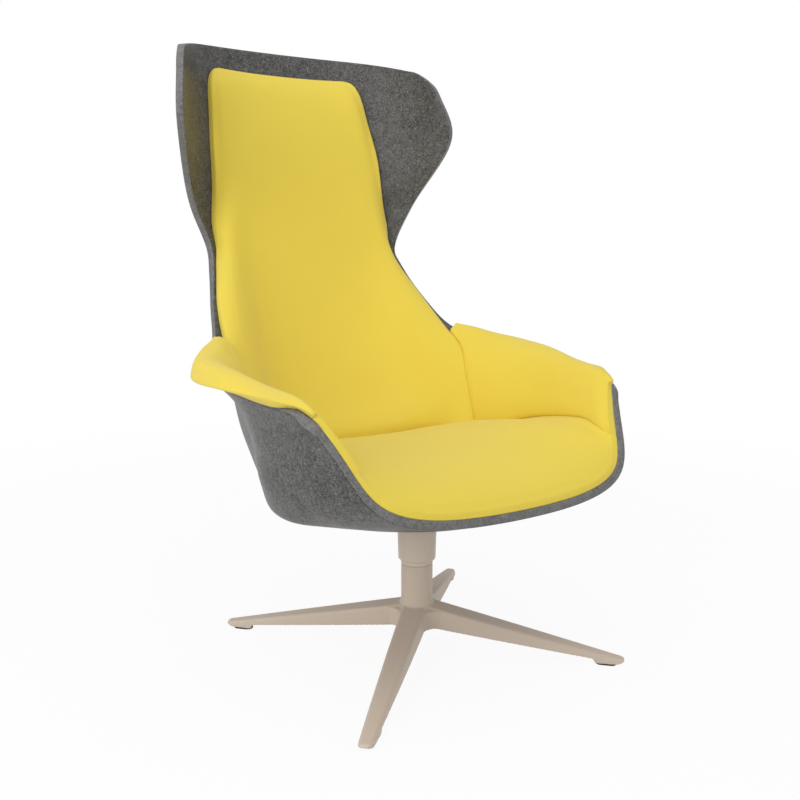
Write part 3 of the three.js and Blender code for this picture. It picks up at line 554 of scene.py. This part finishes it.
coverCloth = {
    "quality": 4,
    "mass": 0.3,
    "tension_stiffness": 30,
    "compression_stiffness": 30,
    "bending_stiffness": 4,
}
# the roll of an arm pad over the felt, in metres, with [y, amount] pairs along the arm
rollMaking = {
    "blunt": [(-0.28, 0), (-0.215, 0.35), (-0.15, 0.62), (-0.07, 0.85), (0.02, 1), (0.09, 0.85),
              (0.125, 0)],
    "lift": [(-0.31, 0), (-0.274, 0.009), (-0.235, 0.014), (-0.2, 0.011), (-0.17, 0.006),
             (-0.1, 0), (-0.045, -0.005), (0.02, -0.004), (0.075, 0.001), (0.12, 0)],
    "tuck": [(-0.345, 0.4), (-0.31, 0.3), (-0.28, 0.12), (-0.24, 0)],  # towards the felt
    "broad": [(-0.33, 0), (-0.25, 0.8), (-0.15, 1), (-0.05, 1), (0.05, 0.3), (0.1, 0)],
    "drop": 0.013,  # of its lower corner
    "squaring": 0.85,  # how far its side is brought out to its lower corner
    "top": 0.006,  # added to its top
    "inwards": 0.010,  # added to its inner side
}
# the parts of the roll, as spans of the distance from the felt, above and inside its lower corner
rollParts = {
    "loose": (0.006, 0.014),
    "sideAbove": (0, 0.01),
    "sideInside": (0.015, 0.037),
    "lowInside": (0, 0.012),
    "lowAbove": (0, 0.018),
    "topAbove": (0.008, 0.02),
    "topInside": (0.03, 0.08),
    "innerStart": (0.015, 0.035),
    "innerEnd": (0.045, 0.105),
}
# what tells the underside of the roll from the rest of the pad
underRoll = {"near": 0.009, "away": 0.012, "beyond": 0.006, "down": -0.3}


def seatBacking(form, inBacking):
    # the underside of a pad is laid on the felt
    for vertex in form.verts:
        if vertex.index in inBacking:
            spot, normal, index, distance = feltTree.find_nearest(vertex.co)
            if distance < padMaking["reach"]:
                vertex.co = spot + (vertex.co - spot).normalized() * padMaking["lift"]


def findCorner(form, side):
    # the lower outer corner of the roll, as [y, distance from the middle] and [y, height]
    corners = set()
    for face in form.faces:
        near, beyond = 0, []
        for vertex in face.verts:
            spot, normal, index, distance = feltTree.find_nearest(vertex.co)
            near += distance < underRoll["near"]
            out = side * (vertex.co.x - spot.x)
            if distance > underRoll["away"] and out > underRoll["beyond"]:
                beyond.append(vertex)
        if face.normal.z < underRoll["down"] and near and len(beyond) == 2:
            corners.update((round(v.co.y, 5), side * v.co.x, v.co.z) for v in beyond)
    return [(y, x) for y, x, z in sorted(corners)], [(y, z) for y, x, z in sorted(corners)]


def fillRoll(piece):
    # an arm pad's roll gets a blunt side and a broad top, measured from its lower outer corner
    form = bmesh.new()
    form.from_mesh(piece.data)
    side = 1 if sum(v.co.x for v in form.verts) > 0 else -1
    outs, heights = findCorner(form, side)
    for vertex in form.verts:
        place = vertex.co
        spot, normal, index, distance = feltTree.find_nearest(place)
        inside = along(outs, place.y) - side * place.x
        above = place.z - along(heights, place.y)
        blunt = along(rollMaking["blunt"], place.y)
        loose = rise(distance, *rollParts["loose"])
        squared = rise(above, *rollParts["sideAbove"])
        squared *= 1 - rise(inside, *rollParts["sideInside"])
        low = 1 - rise(inside, *rollParts["lowInside"])
        low *= 1 - rise(above, *rollParts["lowAbove"])
        top = rise(above, *rollParts["topAbove"])
        top *= 1 - rise(inside, *rollParts["topInside"])
        inner = rise(inside, *rollParts["innerStart"])
        inner *= 1 - rise(inside, *rollParts["innerEnd"])
        outwards = inside * squared * blunt * rollMaking["squaring"] * loose
        inwards = rollMaking["inwards"] * inner * along(rollMaking["broad"], place.y) * loose
        lift = top * (rollMaking["top"] * blunt + along(rollMaking["lift"], place.y)) * loose
        if side * (place.x - spot.x) > 0:
            place += (spot - place) * along(rollMaking["tuck"], place.y) * loose
        place.x += side * (outwards - inwards)
        place.z += lift - rollMaking["drop"] * low * blunt
    form.to_mesh(piece.data)
    form.free()


def markSides(piece, relax):
    # which faces lie on the felt, and which make the border of the pad
    mesh = piece.data
    form = bmesh.new()
    form.from_mesh(mesh)
    form.faces.ensure_lookup_table()
    backing = set()
    for face in form.faces:
        centre = face.calc_center_median()
        spot, normal, index, distance = feltTree.find_nearest(centre)
        facing = face.normal.dot((spot - centre).normalized())
        if distance < padMaking["reach"] and facing > padMaking["facing"]:
            backing.add(face.index)
        elif piece.name == "seatCushion" and face.normal.z < padMaking["underside"]:
            backing.add(face.index)
    inBacking = {v.index for f in form.faces if f.index in backing for v in f.verts}
    border = {f.index for f in form.faces
              if f.index not in backing and sum(v.index in inBacking for v in f.verts) > 1}
    inBorder = {v.index for f in form.faces if f.index in border for v in f.verts}
    crease = form.edges.layers.float.new("crease_edge")
    corner = form.verts.layers.float.new("crease_vert")
    fold = math.radians(padMaking["foldAngle"])
    for edge in form.edges:
        sides = [f.index in backing for f in edge.link_faces]
        kinds = [f.index in border for f in edge.link_faces]
        if any(sides) and not all(sides):
            edge[crease] = padMaking["hemCrease"]
        elif any(kinds) and not all(kinds):
            edge[crease] = padMaking["rollCrease"]
        elif not any(sides) and edge.calc_face_angle(0) > fold:
            edge[crease] = padMaking["foldCrease"]
    for vertex in form.verts:
        if vertex.index in inBacking and len(vertex.link_edges) == 3:
            vertex[corner] = 1.0
    top = [v for v in form.verts if v.index not in inBacking and v.index not in inBorder]
    for face in form.faces:
        if face.index in border:
            for vertex in face.verts:
                vertex.co += face.normal * padMaking["spread"] / 2
    relaxPoints(form, top, relax)
    seatBacking(form, inBacking)
    form.to_mesh(mesh)
    form.free()
    piece.vertex_groups.new(name="rim").add(sorted(inBacking | inBorder), 1.0, "REPLACE")
    return backing, border


def layCloth(piece, backing):
    # a flat pattern of the cover, in metres, seamed where the border meets the felt
    pick(piece)
    mesh = piece.data
    for polygon in mesh.polygons:
        polygon.select = polygon.index in backing
    bpy.ops.object.mode_set(mode="EDIT")
    bpy.ops.mesh.select_mode(type="FACE")
    bpy.ops.mesh.region_to_loop()
    bpy.ops.mesh.mark_seam()
    bpy.ops.mesh.select_mode(type="FACE")
    bpy.ops.mesh.select_all(action="SELECT")
    if not mesh.uv_layers:
        bpy.ops.mesh.uv_texture_add()
    bpy.ops.uv.unwrap(method="ANGLE_BASED", margin=0.001)
    bpy.ops.mesh.select_all(action="DESELECT")
    bpy.ops.object.mode_set(mode="OBJECT")
    pattern = mesh.uv_layers[0]
    pattern.name = "cloth"
    surface, drawn = 0.0, 0.0
    for polygon in mesh.polygons:
        if polygon.index in backing:
            continue
        spots = [pattern.data[k].uv.copy() for k in polygon.loop_indices]
        surface += polygon.area
        drawn += abs(sum(a.x * b.y - a.y * b.x for a, b in zip(spots, spots[1:] + spots[:1]))) / 2
    size = math.sqrt(surface / drawn)
    for spot in pattern.data:
        spot.uv = spot.uv * size


def weightsOf(piece, name):
    index = piece.vertex_groups[name].index
    return [next((g.weight for g in vertex.groups if g.group == index), 0.0)
            for vertex in piece.data.vertices]


def evenOut(piece, moves, held, passes):
    # smooths the moves themselves, so that the shape below them stays
    form = bmesh.new()
    form.from_mesh(piece.data)
    form.verts.ensure_lookup_table()
    for vertex, move in zip(form.verts, moves):
        vertex.co = move
    relaxPoints(form, [v for v in form.verts if held[v.index] < 0.5], passes)
    evened = [v.co.copy() for v in form.verts]
    form.free()
    return evened


def swell(piece, making):
    # the cover blown up against its own border, like tight cloth on foam
    pick(piece)
    cloth = piece.modifiers.new("cover", "CLOTH")
    for key, value in coverCloth.items():
        setattr(cloth.settings, key, value)
    cloth.settings.shrink_min = making["tightness"]
    cloth.settings.use_pressure = True
    cloth.settings.uniform_pressure_force = making["pressure"]
    cloth.settings.vertex_group_mass = "rim"
    cloth.settings.effector_weights.gravity = 0
    cloth.point_cache.frame_end = padMaking["frames"]
    for step in range(1, padMaking["frames"] + 1):
        bpy.context.scene.frame_set(step)
    bpy.ops.object.modifier_apply(modifier=cloth.name)
    bpy.context.scene.frame_set(1)


def puff(piece, making):
    # only the part of the swelling that goes straight out is kept, capped and smoothed
    rim = weightsOf(piece, "rim")
    start = [v.co.copy() for v in piece.data.vertices]
    normals = [v.normal.copy() for v in piece.data.vertices]
    swell(piece, making)
    mesh = piece.data
    moves = []
    for vertex, place, normal, held in zip(mesh.vertices, start, normals, rim):
        outwards = (vertex.co - place).dot(normal)
        cap = making["cap"] * (1 - held)
        moves.append(normal * min(max(outwards, -cap / 2), cap))
    moves = evenOut(piece, moves, rim, making["smooth"])
    for vertex, place, move in zip(mesh.vertices, start, moves):
        vertex.co = place + move
    print(piece.name, "swelled by up to", round(max(m.length for m in moves) * 1000, 2), "mm")


def makePad(node, name, making):
    pad = copyNode(node, name)
    if making is armMaking:
        fillRoll(pad)
    backing, border = markSides(pad, making["relax"])
    layCloth(pad, backing)
    levels, lastLevels = padMaking["levels"], padMaking["lastLevels"]
    fitCage(pad, levels, padMaking["fitPasses"], padMaking["fitShare"])
    applyModifier(pad, "SUBSURF", levels=levels, render_levels=levels)
    puff(pad, making)
    applyModifier(pad, "SUBSURF", levels=lastLevels, render_levels=lastLevels)
    bpy.ops.object.shade_smooth()
    finishPiece(pad, looks["cloth"], "seat", "yellow_fabric", node)
    print(name, "made:", len(pad.data.polygons), "faces,",
          len(backing), "on the felt,", len(border), "in the border")
    return pad


seatCushion = makePad("seat_cushion", "seatCushion", seatMaking)
backCushion = makePad("back_cushion", "backCushion", backMaking)
armPadLeft = makePad("arm_pad_left", "armPadLeft", armMaking)
armPadRight = makePad("arm_pad_right", "armPadRight", armMaking)


# Base casting

baseMaking = {
    "voxel": 0.0012,
    "smooth": 14,
    "kept": 0.35,  # share of the faces left after thinning
    "edgeSpan": 0.0009,
}


def markEdges(piece, span):
    # how far each point stands out of its neighbours, for the rubbed edges
    form = bmesh.new()
    form.from_mesh(piece.data)
    out = []
    for vertex in form.verts:
        around = [e.other_vert(vertex).co for e in vertex.link_edges]
        middle = sum(around, Vector()) / max(len(around), 1)
        out.append((vertex.co - middle).dot(vertex.normal) / span)
    form.free()
    attribute = piece.data.attributes.new("edge", "FLOAT", "POINT")
    attribute.data.foreach_set("value", [min(max(x, 0.0), 1.0) for x in out])


def makeBase():
    base = copyNode("star_base", "starCasting")
    applyModifier(base, "REMESH", mode="VOXEL", voxel_size=baseMaking["voxel"])
    applyModifier(base, "SMOOTH", factor=0.5, iterations=baseMaking["smooth"])
    applyModifier(base, "DECIMATE", ratio=baseMaking["kept"])
    markEdges(base, baseMaking["edgeSpan"])
    pick(base)
    bpy.ops.object.shade_smooth()
    finishPiece(base, looks["beige"], "base", "beige_metal", "star_base")
    print("base made:", len(base.data.polygons), "faces")
    return base


starCasting = makeBase()


# Swivel column

columnMaking = {
    "sides": 96,
    "bevel": 0.0006,
    "bevelSteps": 3,
    "wall": 0.0105,
    "collarTaper": 0.0027,
    "collarEdge": 0.003,  # slope at the foot of the collar
    "collarGap": 0.0003,
    "merge": 0.00001,
    "bevelAngle": 25,  # degrees
    "smoothAngle": 40,
    "edgeSpan": 0.0004,
}
axisX, axisY = [sum(c) / 2 for c in zip(*(p[:2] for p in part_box("turning_sleeve")))]


def turn(name, profile):
    # a closed [radius, z] line is spun round the column's axis
    bpy.ops.object.select_all(action="DESELECT")
    bpy.ops.mesh.primitive_circle_add(vertices=len(profile), radius=0.01, location=(0, 0, 0))
    piece = bpy.context.object
    piece.name = name
    piece.data.name = name
    for vertex, (radius, z) in zip(piece.data.vertices, profile):
        vertex.co = (axisX + radius, axisY, z)
    bpy.ops.object.mode_set(mode="EDIT")
    bpy.ops.mesh.select_all(action="SELECT")
    bpy.ops.mesh.spin(
        steps=columnMaking["sides"], angle=math.tau, center=(axisX, axisY, 0), axis=(0, 0, 1))
    bpy.ops.mesh.select_all(action="SELECT")
    bpy.ops.mesh.remove_doubles(threshold=columnMaking["merge"])
    bpy.ops.mesh.normals_make_consistent(inside=False)
    bpy.ops.mesh.select_all(action="DESELECT")
    bpy.ops.object.mode_set(mode="OBJECT")
    applyModifier(
        piece, "BEVEL", width=columnMaking["bevel"], segments=columnMaking["bevelSteps"],
        limit_method="ANGLE", angle_limit=math.radians(columnMaking["bevelAngle"]))
    markEdges(piece, columnMaking["edgeSpan"])
    bpy.ops.object.shade_smooth_by_angle(angle=math.radians(columnMaking["smoothAngle"]))
    return piece


def makeColumn():
    low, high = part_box("turning_sleeve")
    outer = (high.x - low.x) / 2
    inner = outer - columnMaking["wall"]
    sleeve = turn("turningSleeve", [
        (inner, low.z), (outer, low.z), (outer, high.z), (inner, high.z)])
    finishPiece(sleeve, looks["beige"], "seat", "beige_metal", "turning_sleeve")
    low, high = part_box("swivel_collar")
    wide = (high.x - low.x) / 2
    foot = wide - columnMaking["collarTaper"]
    bore = outer + columnMaking["collarGap"]
    edge = columnMaking["collarEdge"]
    collar = turn("swivelCollar", [
        (bore, low.z), (foot - edge, low.z), (foot, low.z + edge), (wide, high.z), (bore, high.z)])
    finishPiece(collar, looks["beige"], "seat", "beige_metal", "swivel_collar")
    print("column made")
    return sleeve, collar


turningSleeve, swivelCollar = makeColumn()


# Carried-over hardware

hardwareLooks = {
    "steel": [
        "spindle", "spindle_bolt", "spindle_bolt_washer", "retaining_washer", "retaining_clip",
        *(f"seat_bolt_{k}" for k in range(1, 5)), *(f"tee_nut_{k}" for k in range(1, 5))],
    "bearing": ["thrust_washer", "lower_bush", "upper_bush"],
    "glide": ["glide_front_right", "glide_front_left", "glide_rear_left", "glide_rear_right"],
    "blackPlastic": ["hub_cap"],
    "blackCoat": ["seat_plate"],
    "ply": ["seat_board"],
}
for look, names in hardwareLooks.items():
    for name in names:
        node = frame["nodes"][name]
        node.data.materials.clear()
        node.data.materials.append(looks[look])
print("hardware finished")


# Studio

studio = {
    "floorSize": 14.0,
    "floor": (0.86, 0.86, 0.86),
    "floorGlow": 0.93,  # how far the camera sees the floor as plain white, 1 hides the shadow
    "shadowReach": 2.4,  # metres to where the floor is plain white
    "worldLight": 0.6,
}
# name: place, target, size in metres, power in watts
lamps = {
    "topLamp": ((-0.3, -0.5, 3.3), (0, 0, 0.4), 3.0, 30),
    "sideLamp": ((-2.9, -1.0, 1.8), (0, 0, 0.5), 2.0, 38),
    "fillLamp": ((2.6, -1.8, 1.3), (0, 0, 0.4), 2.4, 5),
}
# fitted to the photograph, with the place measured from the column's axis
photoView = {
    "place": (-0.8937, -1.3647, 0.759),
    "heading": 32.09,  # degrees from +Y towards +X
    "pitch": 9.73,  # degrees down
    "focal": 897,  # pixels
    "frameWidth": 800,
    "sensorWidth": 36,  # millimetres
    "farEnd": 60,
}
white = (1, 1, 1, 1)


def floorMaterial():
    # near white where the camera looks, so that only the soft shadow shows
    paint = Paint(bpy.data.materials.new("paleFloor"))
    away = paint.add("ShaderNodeVectorMath", {"operation": "LENGTH"}, {0: paint.place()}, "Value")
    clear = paint.ramp(away, studio["shadowReach"] * 0.5, studio["shadowReach"])
    ray = paint.add("ShaderNodeLightPath", output="Is Camera Ray")
    seen = paint.maths("MAXIMUM", ray, ray.other("Is Glossy Ray"))
    shaded = paint.add("ShaderNodeBsdfDiffuse", inputs={"Color": (*studio["floor"], 1)})
    glowing = paint.add("ShaderNodeEmission", inputs={"Color": white, "Strength": 1.0})
    glow = studio["floorGlow"] + clear * (1 - studio["floorGlow"])
    mixed = paint.add("ShaderNodeMixShader", inputs={0: seen * glow, 1: shaded, 2: glowing})
    paint.add("ShaderNodeOutputMaterial", inputs={"Surface": mixed})
    return paint.owner


def makeFloor():
    bpy.ops.object.select_all(action="DESELECT")
    bpy.ops.mesh.primitive_plane_add(size=studio["floorSize"], location=(0, 0, 0))
    floor = bpy.context.object
    floor.name = "paleFloor"
    floor.data.materials.append(floorMaterial())


def makeWorld():
    # white to the camera, and an even light on the object
    world = bpy.data.worlds.new("studio")
    bpy.context.scene.world = world
    paint = Paint(world)
    ray = paint.add("ShaderNodeLightPath", output="Is Camera Ray")
    seen = paint.maths("MAXIMUM", ray, ray.other("Is Transmission Ray"))
    light = paint.add("ShaderNodeBackground", inputs={
        "Color": white, "Strength": studio["worldLight"]})
    backdrop = paint.add("ShaderNodeBackground", inputs={"Color": white, "Strength": 1.0})
    mixed = paint.add("ShaderNodeMixShader", inputs={0: seen, 1: light, 2: backdrop})
    paint.add("ShaderNodeOutputWorld", inputs={"Surface": mixed})


def addLamp(name, place, target, size, power):
    lamp = bpy.data.lights.new(name, "AREA")
    lamp.shape = "SQUARE"
    lamp.size = size
    lamp.energy = power
    holder = bpy.data.objects.new(name, lamp)
    bpy.context.scene.collection.objects.link(holder)
    holder.location = place
    holder.rotation_euler = (Vector(target) - Vector(place)).to_track_quat("-Z", "Y").to_euler()


def addCamera():
    view = bpy.data.cameras.new("photoView")
    view.sensor_width = photoView["sensorWidth"]
    view.lens = photoView["focal"] / photoView["frameWidth"] * photoView["sensorWidth"]
    view.clip_end = photoView["farEnd"]
    camera = bpy.data.objects.new("photoView", view)
    bpy.context.scene.collection.objects.link(camera)
    x, y, z = photoView["place"]
    camera.location = (x, axisY + y, z)
    camera.rotation_euler = (
        math.radians(90 - photoView["pitch"]), 0, -math.radians(photoView["heading"]))
    bpy.context.scene.camera = camera


makeFloor()
makeWorld()
for name, settings in lamps.items():
    addLamp(name, *settings)
addCamera()
bpy.context.scene.view_settings.view_transform = "Standard"
print("studio ready")
